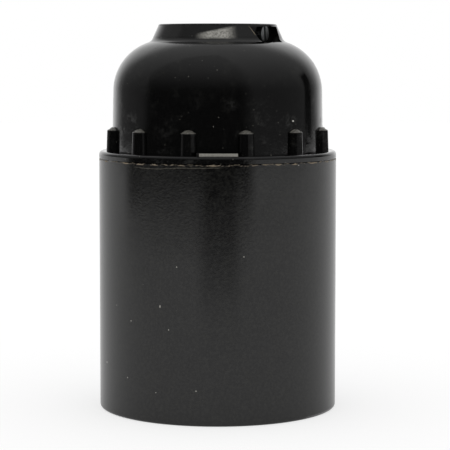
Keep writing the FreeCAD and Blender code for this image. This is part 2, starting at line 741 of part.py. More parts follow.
def turned(name, corners):
    """Body revolved about its own Z axis."""
    body = new_body(name)
    form = new_sketch(body, name + "_outline")
    outline(form, corners)
    revolve(body, name + "_turned", form)
    return body


# Domed contact button, riveted through the tip of the tongue.
button = turned("contact_button", [
    ("zero", "button_low"),
    ("button_face_radius", "button_low", "button_dome", True),
    ("button_radius", "button_edge"),
    ("button_radius", "tip_low"),
    ("button_shank_radius", "tip_low"),
    ("button_shank_radius", "tip_high"),
    ("button_peen_radius", "tip_high"),
    ("peen_edge_radius", "peen_top"),
    ("zero", "peen_top"),
])


def cut_slot(body, plane_height, width, depth, reach, reverse=False):
    """Screwdriver slot across the head, from the plane into the metal."""
    slot = new_sketch(body, body.Label + "_slot", "XY_Plane", plane_height)
    rectangle(slot, reach + "_left", reach, width + "_left", width)
    extrude(body, "Pocket", body.Label + "_slot_cut", slot, depth, reverse=reverse)


def fixing_screw(name, x, under_head):
    """Small screw driven from below, through the porcelain into a terminal plate."""
    body = turned(name, [
        ("zero", under_head + "_low"),
        ("fixing_head_edge", under_head + "_low"),
        ("fixing_head_radius", under_head + "_edge"),
        ("fixing_head_radius", under_head),
        ("fixing_shank_radius", under_head),
        ("fixing_shank_radius", "fixing_end"),
        ("zero", "fixing_end"),
    ])
    cut_slot(body, under_head + "_low", "fixing_slot", "fixing_slot_depth",
             "fixing_head_radius", reverse=True)
    body.Placement = Placement(Vector(size(x), 0, 0), Rotation())
    return body


contact_screw = fixing_screw("contact_screw", "contact_screw_place", "strip_under")
shell_screw = fixing_screw("shell_screw", "fixing_left", "flange_under")

# Two hollow rivets hold the shell flange to the porcelain.
rivets = []
for name, rivet_y in (("FrontRivet", "rivet_y_back"), ("BackRivet", "rivet_y")):
    rivet = turned(name, [
        ("rivet_bore_radius", "rivet_low"),
        ("rivet_head_edge", "rivet_low"),
        ("rivet_head_radius", "rivet_low_edge"),
        ("rivet_head_radius", "flange_under"),
        ("rivet_shank_radius", "flange_under"),
        ("rivet_shank_radius", "disc_top"),
        ("rivet_head_radius", "disc_top"),
        ("rivet_head_radius", "rivet_high_edge"),
        ("rivet_head_edge", "rivet_high"),
        ("rivet_bore_radius", "rivet_high"),
    ])
    rivet.Placement = Placement(Vector(size("rivet_x"), size(rivet_y), 0), Rotation())
    rivets.append(rivet)
doc.recompute()
rivet_pair = doc.addObject("Part::Compound", "shell_rivets")
rivet_pair.Label = "shell_rivets"
rivet_pair.Links = rivets

# Terminals: a tapped brass plate in each bay, a clamp screw and a square washer.
terminals = []
for name, near, far, fixing, clamp in (
        ("live", "live_near", "live_far", "contact_screw_place", "clamp_live"),
        ("neutral", "neutral_far", "neutral_near", "fixing_left", "clamp_neutral")):
    plate = new_body(name + "_terminal")
    plate_outline = new_sketch(plate, name + "_plate_outline", "XY_Plane", "bay_level")
    rectangle(plate_outline, near, far, "terminal_back", "terminal_front")
    extrude(plate, "Pad", name + "_plate", plate_outline, "terminal_thickness")
    tap = new_sketch(plate, name + "_tap", "XY_Plane", "bay_level")
    circle(tap, fixing, "zero", "fixing_shank_radius")
    extrude(plate, "Pocket", name + "_tap_cut", tap, "tap_depth", reverse=True)
    clamp_tap = new_sketch(plate, name + "_clamp_tap", "XY_Plane", "bay_level")
    circle(clamp_tap, clamp, "zero", "clamp_tap_radius")
    extrude(plate, "Pocket", name + "_clamp_tap_cut", clamp_tap, "terminal_thickness",
            reverse=True)

    washer = new_body(name + "_clamp_washer")
    washer_outline = new_sketch(washer, name + "_washer_outline", "XY_Plane", "terminal_top")
    rectangle(washer_outline, "washer_left", "washer_half", "washer_left", "washer_half")
    circle(washer_outline, "zero", "zero", "clamp_tap_radius")
    extrude(washer, "Pad", name + "_washer_pad", washer_outline, "washer_thickness")
    washer.Placement = Placement(Vector(size(clamp), 0, 0), Rotation())

    screw = turned(name + "_terminal_screw", [
        ("zero", "clamp_end"),
        ("clamp_point", "clamp_end"),
        ("clamp_shank_radius", "clamp_end_edge"),
        ("clamp_shank_radius", "washer_top"),
        ("clamp_head_radius", "washer_top"),
        ("clamp_head_radius", "clamp_head_edge"),
        ("clamp_head_top_radius", "clamp_head_top"),
        ("zero", "clamp_head_top"),
    ])
    cut_slot(screw, "clamp_head_top", "clamp_slot", "clamp_slot_depth", "clamp_head_radius")
    screw.Placement = Placement(Vector(size(clamp), 0, 0), Rotation())
    terminals += [plate, washer, screw]

# Threaded brass bush moulded into the neck, for a tube nipple.
bush = turned("neck_bush", [
    ("bush_chamfer_radius", "bush_foot"),
    ("bush_radius", "bush_foot"),
    ("bush_radius", "bush_groove_low"),
    ("bush_groove_radius", "bush_groove_low"),
    ("bush_groove_radius", "bush_groove_high"),
    ("bush_radius", "bush_groove_high"),
    ("bush_radius", "bush_top"),
    ("bush_chamfer_radius", "bush_top"),
    ("bush_bore_radius", "bush_chamfer_top"),
    ("bush_bore_radius", "bush_chamfer_foot"),
])
bush_tap = new_sketch(bush, "BushTap", "XZ_Plane", "recess_start", size("lock_azimuth"))
circle(bush_tap, "zero", "lock_height", "lock_hole_radius")
extrude(bush, "Pocket", "BushTapCut", bush_tap, "lock_hole_depth")

# Locking screw: headless, slotted, lies along a radius of the neck.
lock_screw = turned("lock_screw", [
    ("zero", "zero"),
    ("lock_tip_radius", "zero"),
    ("lock_radius", "lock_tip_height"),
    ("lock_radius", "lock_length"),
    ("zero", "lock_length"),
])
cut_slot(lock_screw, "lock_length", "lock_slot", "lock_slot_depth", "lock_radius")
outwards = Rotation(Vector(0, 0, 1), size("lock_azimuth")).multVec(Vector(0, -1, 0))
slot_upright = Rotation(Vector(0, 0, 1), size("lock_azimuth") - 90 + size("lock_slot_lean"))
lie_down = Rotation(Vector(0, 0, 1), outwards) * slot_upright
inner_end = outwards * size("lock_inner_end") + Vector(0, 0, size("lock_height"))
lock_screw.Placement = Placement(inner_end, lie_down)

doc.recompute()
sub_parts = [cap, skirt, insert, shell, contact, button, contact_screw, shell_screw, rivet_pair,
             bush, lock_screw] + terminals
for item in doc.Objects:
    if "Invalid" in item.State or "Error" in item.State:
        raise RuntimeError("%s did not recompute" % item.Name)
os.makedirs("parts", exist_ok=True)
for part in sub_parts:
    if part.Shape.isNull() or not part.Shape.isValid():
        raise RuntimeError("%s has no valid shape" % part.Label)
    part.Shape.exportStep("parts/%s.step" % part.Label)
    print(part.Label, len(part.Shape.Solids), round(part.Shape.Volume, 1))
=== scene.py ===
import bmesh
import bpy
import json
import math
import random
from mathutils import Matrix, Vector


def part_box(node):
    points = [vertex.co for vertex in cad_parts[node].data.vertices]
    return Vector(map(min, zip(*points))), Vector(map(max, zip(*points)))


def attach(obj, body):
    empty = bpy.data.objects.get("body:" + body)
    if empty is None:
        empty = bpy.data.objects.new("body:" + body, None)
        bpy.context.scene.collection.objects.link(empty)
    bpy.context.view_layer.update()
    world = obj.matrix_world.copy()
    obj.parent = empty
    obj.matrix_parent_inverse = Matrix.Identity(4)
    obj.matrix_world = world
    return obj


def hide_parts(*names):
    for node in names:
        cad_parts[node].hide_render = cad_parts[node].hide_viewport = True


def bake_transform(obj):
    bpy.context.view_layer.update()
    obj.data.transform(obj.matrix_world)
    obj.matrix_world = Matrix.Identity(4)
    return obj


# Pendant lamp holder in black phenolic. Every length is in metres, in the frame of the
# solids: Z up the lamp axis from the open rim, the front towards minus Y.
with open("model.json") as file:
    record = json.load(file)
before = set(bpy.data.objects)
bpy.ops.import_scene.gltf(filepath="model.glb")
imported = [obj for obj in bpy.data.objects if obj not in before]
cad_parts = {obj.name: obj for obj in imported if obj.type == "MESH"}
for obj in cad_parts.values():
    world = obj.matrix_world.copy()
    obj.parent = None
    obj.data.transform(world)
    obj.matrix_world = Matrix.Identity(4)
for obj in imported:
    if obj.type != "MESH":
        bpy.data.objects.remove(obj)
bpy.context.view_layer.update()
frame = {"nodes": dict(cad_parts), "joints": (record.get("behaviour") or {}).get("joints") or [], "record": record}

MM = 0.001

# Sizes from the boxes of the solids and from the record.
cap_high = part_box("cap_dome")[1]
skirt_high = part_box("skirt")[1]
bush_low, bush_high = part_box("neck_bush")
mounts = {mount["name"]: mount for mount in frame["record"]["mounts"]}
overall_height = cap_high.z
skirt_radius = skirt_high.x
skirt_top = skirt_high.z
bush_bore = mounts["nipple_thread"]["dims"]["r_mm"] * MM

# Sizes of the solids that no box gives.
parting_gap = 0.15 * MM
flange_height = 1.2 * MM
rib_height = 4.1 * MM
neck_height = 3.05 * MM
flange_top = skirt_top + parting_gap + flange_height
rib_top = flange_top + rib_height
neck_foot = overall_height - neck_height


# Materials

def linear(hex_colour):
    """sRGB hex colour as a linear RGBA tuple."""
    parts = [int(hex_colour[place:place + 2], 16) / 255 for place in (0, 2, 4)]
    return tuple(
        part / 12.92 if part <= 0.04045 else ((part + 0.055) / 1.055) ** 2.4
        for part in parts) + (1.0,)


def add_node(tree, kind, settings=None, values=None, links=None):
    """Add one node, with its settings, its fixed inputs and what feeds its other inputs."""
    made = tree.nodes.new(kind)
    for name, value in (settings or {}).items():
        setattr(made, name, value)
    for socket, value in (values or {}).items():
        made.inputs[socket].default_value = value
    for socket, source in (links or {}).items():
        tree.links.new(source, made.inputs[socket])
    return made


def new_material(name):
    """Empty node material: its tree, its object coordinates and its surface output."""
    material = bpy.data.materials.new(name)
    material.use_nodes = True
    tree = material.node_tree
    tree.nodes.clear()
    place = add_node(tree, "ShaderNodeTexCoord").outputs["Object"]
    surface = add_node(tree, "ShaderNodeOutputMaterial").inputs["Surface"]
    return material, tree, place, surface


def overlap(tree, *masks):
    """Mask of what all these masks cover."""
    covered = masks[0]
    for mask in masks[1:]:
        covered = add_node(tree, "ShaderNodeMath", {"operation": "MULTIPLY"},
                           links={0: covered, 1: mask}).outputs[0]
    return covered


def band(tree, value, low, high, soft):
    """Mask that is 1 where the value lies between two limits, with soft edges."""
    rising = add_node(tree, "ShaderNodeMapRange", {"interpolation_type": "SMOOTHSTEP"},
                      {"From Min": low - soft, "From Max": low}, {"Value": value})
    falling = add_node(tree, "ShaderNodeMapRange", {"interpolation_type": "SMOOTHSTEP"},
                       {"From Min": high + soft, "From Max": high}, {"Value": value})
    return overlap(tree, rising.outputs["Result"], falling.outputs["Result"])


def around_axis(tree, place):
    """Angle round the lamp axis in degrees from the front, positive to the right, and the
    height, in metres."""
    xyz = add_node(tree, "ShaderNodeSeparateXYZ", links={"Vector": place})
    front = add_node(tree, "ShaderNodeMath", {"operation": "MULTIPLY"}, {1: -1.0},
                     {0: xyz.outputs["Y"]})
    turn = add_node(tree, "ShaderNodeMath", {"operation": "ARCTAN2"},
                    links={0: xyz.outputs["X"], 1: front.outputs[0]})
    degrees = add_node(tree, "ShaderNodeMath", {"operation": "DEGREES"},
                       links={0: turn.outputs[0]})
    return degrees.outputs[0], xyz.outputs["Z"]


def from_axis(tree, place):
    """Distance from the lamp axis, in metres."""
    level = add_node(tree, "ShaderNodeVectorMath", {"operation": "MULTIPLY"}, {1: (1, 1, 0)},
                     {0: place})
    return add_node(tree, "ShaderNodeVectorMath", {"operation": "LENGTH"},
                    links={0: level.outputs["Vector"]}).outputs["Value"]


def painted(tree, colour, coats):
    """Colour with coats laid over it in turn, each a hex colour and the mask it covers."""
    for over, mask in coats:
        colour = add_node(tree, "ShaderNodeMix", {"data_type": "RGBA"}, {"B": linear(over)},
                          {"Factor": mask, "A": colour}).outputs["Result"]
    return colour


def spot(tree, angle, height, at, half_size):
    """Mask of one oval mark: its centre as an angle and a height, and its half width, at the
    skirt's radius, and half height."""
    turn, rise = at
    half_width, half_height = half_size
    per_degree = math.radians(1) * skirt_radius / half_width
    across = add_node(tree, "ShaderNodeMath", {"operation": "MULTIPLY_ADD"},
                      {1: per_degree, 2: -turn * per_degree}, {0: angle})
    up = add_node(tree, "ShaderNodeMath", {"operation": "MULTIPLY_ADD"},
                  {1: 1 / half_height, 2: -rise / half_height}, {0: height})
    offset = add_node(tree, "ShaderNodeCombineXYZ",
                      links={"X": across.outputs[0], "Y": up.outputs[0]})
    away = add_node(tree, "ShaderNodeVectorMath", {"operation": "LENGTH"},
                    links={0: offset.outputs[0]})
    return add_node(tree, "ShaderNodeMapRange", values={"From Min": 1.0, "From Max": 0.6},
                    links={"Value": away.outputs["Value"]}).outputs["Result"]


def lint(tree, place, cell, share):
    """Mask of a few pale specks, each a small part of its cell."""
    cells = add_node(tree, "ShaderNodeTexVoronoi", values={"Scale": 1 / cell},
                     links={"Vector": place})
    radius = add_node(tree, "ShaderNodeMath", {"operation": "MULTIPLY"}, {1: share},
                      {0: cells.outputs["Color"]})
    return add_node(tree, "ShaderNodeMath", {"operation": "LESS_THAN"},
                    links={0: cells.outputs["Distance"], 1: radius.outputs[0]}).outputs[0]


def phenolic_cap():
    """Black phenolic, compression moulded in a polished tool: near-black with a deep gloss.
    A thin cloudy film, lint and rubbed patches break up what it reflects, and painted highlights lie on the neck's
    front and on the rib crowns."""
    material, tree, place, surface = new_material("phenolic_polished_moulding")
    angle, height = around_axis(tree, place)
    # The film's clouds are some 3.4 mm across and the waviness of the moulding is 3 mm long.
    # The filler's grain is a tenth of a millimetre, and is drawn 0.3 mm wide so that it shows.
    clouds = add_node(tree, "ShaderNodeTexNoise",
                      values={"Scale": 1 / (3.4 * MM), "Detail": 10.0, "Roughness": 0.82},
                      links={"Vector": place})
    waves = add_node(tree, "ShaderNodeTexNoise",
                     values={"Scale": 1 / (3 * MM), "Detail": 1.0, "Roughness": 0.4},
                     links={"Vector": place})
    grain = add_node(tree, "ShaderNodeTexNoise",
                     values={"Scale": 1 / (0.3 * MM), "Detail": 2.0, "Roughness": 0.6},
                     links={"Vector": place})
    film = add_node(tree, "ShaderNodeMapRange", {"interpolation_type": "SMOOTHSTEP"},
                    {"From Min": 0.5, "From Max": 0.72}, {"Value": clouds.outputs["Fac"]})
    grains = add_node(tree, "ShaderNodeMapRange", values={"From Min": 0.35, "From Max": 0.65,
                                                         "To Min": 0.45},
                      links={"Value": grain.outputs["Fac"]}).outputs["Result"]
    # The front of the neck is rubbed dull and carries a painted highlight, up to an edge that slants up to the
    # right.
    slant_per_degree = 0.036 * MM
    level = add_node(tree, "ShaderNodeMath", {"operation": "MULTIPLY_ADD"},
                     {1: -slant_per_degree}, {0: angle, 2: height}).outputs[0]
    neck_highlight_and_rub = overlap(
        tree, grains,
        band(tree, angle, -8, 6, 13),
        band(tree, level, 0, neck_foot + 1.8 * MM, 0.45 * MM),
        band(tree, height, neck_foot + 0.85 * MM, overall_height, 0.45 * MM))
    # The gate was snapped off, which leaves the lower part of its face pale and matt.
    gate_left, gate_right = -2.85 * MM, 3.35 * MM
    gate_front = -19.5 * MM
    snapped_height = 0.46 * MM
    xyz = add_node(tree, "ShaderNodeSeparateXYZ", links={"Vector": place}).outputs
    gate = overlap(
        tree, band(tree, xyz["X"], gate_left, gate_right, 0.05 * MM),
        band(tree, xyz["Y"], gate_front - 0.6 * MM, gate_front + 0.5 * MM, 0.1 * MM),
        band(tree, height, flange_top + 0.02 * MM, flange_top + snapped_height, 0.04 * MM))
    # Hands have worn the crowns of the ribs, where they stand clear of the dome, and their pale colour is also a
    # painted highlight.
    dome_clearance = 17.9 * MM
    crown_wear_and_highlight = overlap(
        tree, grains,
        band(tree, from_axis(tree, place), dome_clearance, skirt_radius, 0.15 * MM),
        band(tree, height, rib_top - 0.5 * MM, rib_top + 0.1 * MM, 0.12 * MM))
    tint = add_node(tree, "ShaderNodeMix", {"data_type": "RGBA"},
                    {"A": linear("050505"), "B": linear("171715")},
                    {"Factor": film.outputs["Result"]}).outputs["Result"]
    tint = painted(tree, tint, [
        # The pale coat on the neck's front is a painted highlight over its rubbed patch.
        ("a5a39c", neck_highlight_and_rub),
        ("6b6962", gate),
        ("8b8982", overlap(tree, gate, grains)),
        # The crowns' pale coat is wear and a painted highlight together.
        ("67655f", crown_wear_and_highlight),
        ("55544e", lint(tree, place, 1.1 * MM, 0.1)),
        ("b9b7b0", lint(tree, place, 2.4 * MM, 0.05)),
        ("b9b7b0", spot(tree, angle, height, (44, 48.8 * MM), (0.3 * MM, 0.15 * MM))),
    ])
    dullness = film.outputs["Result"]
    for worn in (neck_highlight_and_rub, gate, crown_wear_and_highlight):
        dullness = add_node(tree, "ShaderNodeMath", {"operation": "MAXIMUM"},
                            links={0: dullness, 1: worn}).outputs[0]
    gloss = add_node(tree, "ShaderNodeMapRange", values={"To Min": 0.07, "To Max": 0.36},
                     links={"Value": dullness})
    bump = add_node(tree, "ShaderNodeBump", values={"Strength": 0.35, "Distance": 0.06 * MM},
                    links={"Height": waves.outputs["Fac"]})
    fine = add_node(tree, "ShaderNodeBump", values={"Strength": 0.25, "Distance": 0.02 * MM},
                    links={"Height": grain.outputs["Fac"], "Normal": bump.outputs["Normal"]})
    shader = add_node(tree, "ShaderNodeBsdfPrincipled", values={"IOR": 1.52},
                      links={"Base Color": tint, "Roughness": gloss.outputs["Result"],
                             "Normal": fine.outputs["Normal"]})
    tree.links.new(shader.outputs["BSDF"], surface)
    return material


# Pale nicks in the skirt: angle and height of each, then its half width and half height.
skirt_nicks = [
    ((-27.4, 19.2 * MM), (0.15 * MM, 0.27 * MM)),
    ((-23.0, 15.5 * MM), (0.12 * MM, 0.14 * MM)),
    ((-9.8, 5.8 * MM), (0.16 * MM, 0.12 * MM)),
    ((-66.8, 8.5 * MM), (0.3 * MM, 0.15 * MM)),
    ((-18.9, 25.7 * MM), (0.12 * MM, 0.14 * MM)),
    ((12.3, 27.4 * MM), (0.14 * MM, 0.12 * MM)),
]


def phenolic_skirt():
    """Black phenolic from a plain tool, rubbed by hands: the same near-black, but satin, so
    it shows its surroundings only as soft grey shades. Flash and chips line its top edge."""
    material, tree, place, surface = new_material("phenolic_satin_moulding")
    angle, height = around_axis(tree, place)
    # Handling marks are some 8 mm across. The filler's grain is a tenth of a millimetre, and
    # is drawn 0.4 mm wide so that it shows.
    marks = add_node(tree, "ShaderNodeTexNoise",
                     values={"Scale": 1 / (8 * MM), "Detail": 8.0, "Roughness": 0.65},
                     links={"Vector": place})
    grain = add_node(tree, "ShaderNodeTexNoise",
                     values={"Scale": 1 / (0.42 * MM), "Detail": 3.0, "Roughness": 0.7},
                     links={"Vector": place})
    gloss = add_node(tree, "ShaderNodeMapRange",
                     values={"From Min": 0.3, "From Max": 0.75, "To Min": 0.08, "To Max": 0.2},
                     links={"Value": marks.outputs["Fac"]})
    grains = add_node(tree, "ShaderNodeMapRange", values={"From Min": 0.42, "From Max": 0.66},
                      links={"Value": grain.outputs["Fac"]})
    tint = add_node(tree, "ShaderNodeMix", {"data_type": "RGBA"},
                    {"A": linear("070707"), "B": linear("1d1d1b")},
                    {"Factor": grains.outputs["Result"]}).outputs["Result"]
    # Flash: pale brown broken dashes, some 1.3 mm long, along the outside of the top edge.
    dash_length = 1.3 * MM
    dash_height = 0.35 * MM
    along = add_node(tree, "ShaderNodeMapping",
                     values={"Scale": (1 / dash_length, 1 / dash_length, 1 / dash_height)},
                     links={"Vector": place})
    dashes = add_node(tree, "ShaderNodeTexNoise", values={"Scale": 1.0, "Detail": 4.0,
                                                          "Roughness": 0.7},
                      links={"Vector": along.outputs["Vector"]}).outputs["Fac"]
    broken = add_node(tree, "ShaderNodeMapRange",
                      values={"From Min": 0.52, "From Max": 0.57},
                      links={"Value": dashes}).outputs["Result"]
    flash = overlap(
        tree, broken,
        band(tree, height, skirt_top - 0.16 * MM, skirt_top + 0.1 * MM, 0.06 * MM),
        band(tree, from_axis(tree, place), skirt_radius - 0.2 * MM, skirt_radius, 0.1 * MM))
    # A second line of flash runs 0.6 mm lower at the front left, and strays 0.6 mm either way.
    stray = 0.6 * MM
    drift = add_node(tree, "ShaderNodeMath", {"operation": "MULTIPLY_ADD"},
                     {1: 2 * stray, 2: -stray}, {0: marks.outputs["Fac"]})
    strayed = add_node(tree, "ShaderNodeMath", {"operation": "ADD"},
                       links={0: drift.outputs[0], 1: height}).outputs[0]
    second_line = overlap(
        tree, grain.outputs["Fac"],
        band(tree, strayed, skirt_top - 0.65 * MM, skirt_top - 0.55 * MM, 0.05 * MM),
        band(tree, angle, -38, -2, 6))
    # Chips: the edge is broken away to bare black at the front right.
    gaps = add_node(tree, "ShaderNodeMapRange", values={"From Min": 0.52, "From Max": 0.48},
                    links={"Value": dashes}).outputs["Result"]
    chips = overlap(
        tree, gaps,
        band(tree, height, skirt_top - 0.45 * MM, skirt_top + 0.1 * MM, 0.1 * MM),
        band(tree, angle, 8, 22, 2))
    tint = painted(tree, tint, [
        ("7c705f", flash),
        ("57544c", second_line),
        ("020202", chips),
        ("a9a7a0", lint(tree, place, 3.4 * MM, 0.035)),
    ])
    tint = painted(tree, tint, [("918f88", spot(tree, angle, height, at, half_size))
                                for at, half_size in skirt_nicks])
    dull = add_node(tree, "ShaderNodeMath", {"operation": "ADD", "use_clamp": True},
                    links={0: gloss.outputs["Result"], 1: flash})
    bump = add_node(tree, "ShaderNodeBump", values={"Strength": 0.3, "Distance": 0.03 * MM},
                    links={"Height": grain.outputs["Fac"]})
    shader = add_node(tree, "ShaderNodeBsdfPrincipled", values={"IOR": 1.52},
                      links={"Base Color": tint, "Roughness": dull.outputs[0],
                             "Normal": bump.outputs["Normal"]})
    tree.links.new(shader.outputs["BSDF"], surface)
    return material


def metal(name, bright, dull, rough_low, rough_high, mark_size):
    """Bare metal whose tarnish and fine scratches change its colour and its gloss."""
    material, tree, place, surface = new_material(name)
    tarnish = add_node(tree, "ShaderNodeTexNoise",
                       values={"Scale": 1 / mark_size, "Detail": 5.0, "Roughness": 0.6},
                       links={"Vector": place})
    colour = add_node(tree, "ShaderNodeMix", {"data_type": "RGBA"},
                      {"A": linear(bright), "B": linear(dull)},
                      {"Factor": tarnish.outputs["Fac"]})
    gloss = add_node(tree, "ShaderNodeMapRange",
                     values={"From Min": 0.3, "From Max": 0.7,
                             "To Min": rough_low, "To Max": rough_high},
                     links={"Value": tarnish.outputs["Fac"]})
    # Real scratches are a few hundredths of a millimetre wide. They are drawn 0.2 mm wide so
    # that they show.
    scratches = add_node(tree, "ShaderNodeTexNoise",
                         values={"Scale": 1 / (0.2 * MM), "Detail": 2.0},
                         links={"Vector": place})
    bump = add_node(tree, "ShaderNodeBump", values={"Strength": 0.15, "Distance": 0.01 * MM},
                    links={"Height": scratches.outputs["Fac"]})
    shader = add_node(tree, "ShaderNodeBsdfPrincipled", values={"Metallic": 1.0},
                      links={"Base Color": colour.outputs["Result"],
                             "Roughness": gloss.outputs["Result"],
                             "Normal": bump.outputs["Normal"]})
    tree.links.new(shader.outputs["BSDF"], surface)
    return material


def flash_fin():
    """Torn phenolic flash: thin, matt and brownish, where the resin shows without its polish."""
    material, tree, place, surface = new_material("phenolic_flash")
    patches = add_node(tree, "ShaderNodeTexNoise",
                       values={"Scale": 1 / (1.5 * MM), "Detail": 4.0}, links={"Vector": place})
    colour = add_node(tree, "ShaderNodeMix", {"data_type": "RGBA"},
                      {"A": linear("2a241c"), "B": linear("a0937d")},
                      {"Factor": patches.outputs["Fac"]})
    gloss = add_node(tree, "ShaderNodeMapRange", values={"To Min": 0.45, "To Max": 0.75},
                     links={"Value": patches.outputs["Fac"]})
    shader = add_node(tree, "ShaderNodeBsdfPrincipled", values={"IOR": 1.52},
                      links={"Base Color": colour.outputs["Result"],
                             "Roughness": gloss.outputs["Result"]})
    tree.links.new(shader.outputs["BSDF"], surface)
    return material


def porcelain():
    """Glazed electrical porcelain: creamy white, a wet gloss over a faintly lumpy body."""
    material, tree, place, surface = new_material("porcelain_glazed")
    # Its shade drifts over some 5 mm, and the lumps under the glaze are 1.5 mm across.
    body = add_node(tree, "ShaderNodeTexNoise",
                    values={"Scale": 1 / (5 * MM), "Detail": 4.0}, links={"Vector": place})
    colour = add_node(tree, "ShaderNodeMix", {"data_type": "RGBA"},
                      {"A": linear("ece7da"), "B": linear("d9d2c0")},
                      {"Factor": body.outputs["Fac"]})
    lumps = add_node(tree, "ShaderNodeTexNoise", values={"Scale": 1 / (1.5 * MM), "Detail": 2.0},
                     links={"Vector": place})
    bump = add_node(tree, "ShaderNodeBump", values={"Strength": 0.2, "Distance": 0.05 * MM},
                    links={"Height": lumps.outputs["Fac"]})
    shader = add_node(tree, "ShaderNodeBsdfPrincipled",
                      values={"IOR": 1.5, "Roughness": 0.16, "Coat Weight": 0.6,
                              "Coat Roughness": 0.06},
                      links={"Base Color": colour.outputs["Result"],
                             "Normal": bump.outputs["Normal"]})
    tree.links.new(shader.outputs["BSDF"], surface)
    return material


polished_phenolic = phenolic_cap()
satin_phenolic = phenolic_skirt()
torn_phenolic = flash_fin()
glazed_porcelain = porcelain()
# Sheet brass, rolled and long bare: warm yellow with broad brown patches, half dull.
rolled_brass = metal("brass_rolled_sheet", "c9a25a", "94713a", 0.22, 0.42, 4 * MM)
# Brass turned from bar: a lighter yellow and a sharper shine, in smaller patches.
turned_brass = metal("brass_turned", "d0ab62", "a27f45", 0.2, 0.36, 2 * MM)
# Bronze spring strip, rolled hard: redder and browner than the brass, with a soft shine.
spring_bronze = metal("bronze_spring_strip", "bd8654", "8a5b3a", 0.25, 0.4, 3 * MM)
# Steel with a bright zinc plating: a cool light grey, dulled in small spots.
zinc_steel = metal("steel_zinc_plated", "c4c6c6", "8f9292", 0.22, 0.4, 1.5 * MM)

finishes = {
    "cap_dome": polished_phenolic,
    "skirt": satin_phenolic,
    "porcelain_insert": glazed_porcelain,
    "screw_shell": rolled_brass,
    "centre_contact": spring_bronze,
    "contact_button": turned_brass,
    "contact_screw": turned_brass,
    "shell_screw": turned_brass,
    "shell_rivets": turned_brass,
    "neck_bush": turned_brass,
    "lock_screw": zinc_steel,
    "live_terminal": rolled_brass,
    "neutral_terminal": rolled_brass,
    "live_clamp_washer": zinc_steel,
    "neutral_clamp_washer": zinc_steel,
    "live_terminal_screw": turned_brass,
    "neutral_terminal_screw": turned_brass,
}
for name, finish in finishes.items():
    for material_slot in frame["nodes"][name].material_slots:
        material_slot.material = finish


# Pieces too fine for the solids

def put_in_scene(name, form, finish):
    """Turn a form into an object of one finish and put it in the scene."""
    mesh = bpy.data.meshes.new(name)
    form.to_mesh(mesh)
    form.free()
    mesh.materials.append(finish)
    made = bpy.data.objects.new(name, mesh)
    bpy.context.scene.collection.objects.link(made)
    return made


def new_piece(name, form, finish, body):
    """Turn a finished form into a piece of the model that rides on a body."""
    bmesh.ops.recalc_face_normals(form, faces=form.faces)
    piece = put_in_scene(name, form, finish)
    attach(piece, body)


def helical_ridge(root, crest, pitch, low, high):
    """Right-hand thread ridge round Z: a three-cornered section wound up between heights."""
    steps_per_turn = 36
    half_width = 0.42 * pitch
    turns = (high - low) / pitch - 1
    steps = round(steps_per_turn * turns)
    start = low + pitch / 2
    form = bmesh.new()
    corners = [form.verts.new((root, 0, start - half_width)),
               form.verts.new((crest, 0, start)),
               form.verts.new((root, 0, start + half_width))]
    sides = [form.edges.new((corners[side - 1], corners[side])) for side in range(3)]
    bmesh.ops.spin(form, geom=corners + sides, axis=(0, 0, 1), cent=(0, 0, 0),
                   dvec=(0, 0, pitch * turns / steps), angle=2 * math.pi * turns, steps=steps)
    bmesh.ops.holes_fill(form, edges=form.edges, sides=3)
    return form


def bush_thread():
    """Thread of the neck bush for its 10 mm tube, standing from the bore of the solid."""
    pitch = 1.0 * MM
    depth = 0.24 * MM
    root_sunk = 0.04 * MM
    chamfer = 0.5 * MM
    form = helical_ridge(bush_bore + root_sunk, bush_bore - depth, pitch,
                         bush_low.z + chamfer, bush_high.z - chamfer)
    new_piece("bush_thread", form, turned_brass, "cap")


def screw_ridge(shank_radius, pitch, low, high):
    """Thread of a small screw: its root is sunk in the shank and its crest just stands out."""
    root_sunk = 0.03 * MM
    crest_proud = 0.04 * MM
    return helical_ridge(shank_radius - root_sunk, shank_radius + crest_proud, pitch, low, high)


def terminal_thread(side):
    """Thread on the shank of one terminal screw, from its point up to its head."""
    low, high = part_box(side + "_terminal_screw")
    shank_radius = 1.75 * MM
    pitch = 0.6 * MM
    point_height = 0.25 * MM
    head_height = 2.2 * MM
    form = screw_ridge(shank_radius, pitch, low.z + point_height, high.z - head_height)
    bmesh.ops.translate(form, verts=form.verts, vec=((low.x + high.x) / 2, 0, 0))
    new_piece(side + "_screw_thread", form, turned_brass, side + "_screw")


def lock_thread():
    """Thread on the middle of the locking screw, clear of its point and its slot."""
    low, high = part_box("lock_screw")
    radius = (high.z - low.z) / 2
    pitch = 0.5 * MM
    half_length = 1.4 * MM
    joint = next(one for one in frame["joints"] if one["name"] == "lock_screw_travel")
    along = Vector(joint["axis"]).to_track_quat("Z", "Y").to_matrix().to_4x4()
    form = screw_ridge(radius, pitch, -half_length, half_length)
    bmesh.ops.transform(form, verts=form.verts,
                        matrix=Matrix.Translation((low + high) / 2) @ along)
    new_piece("lock_screw_thread", form, zinc_steel, "lock_screw")


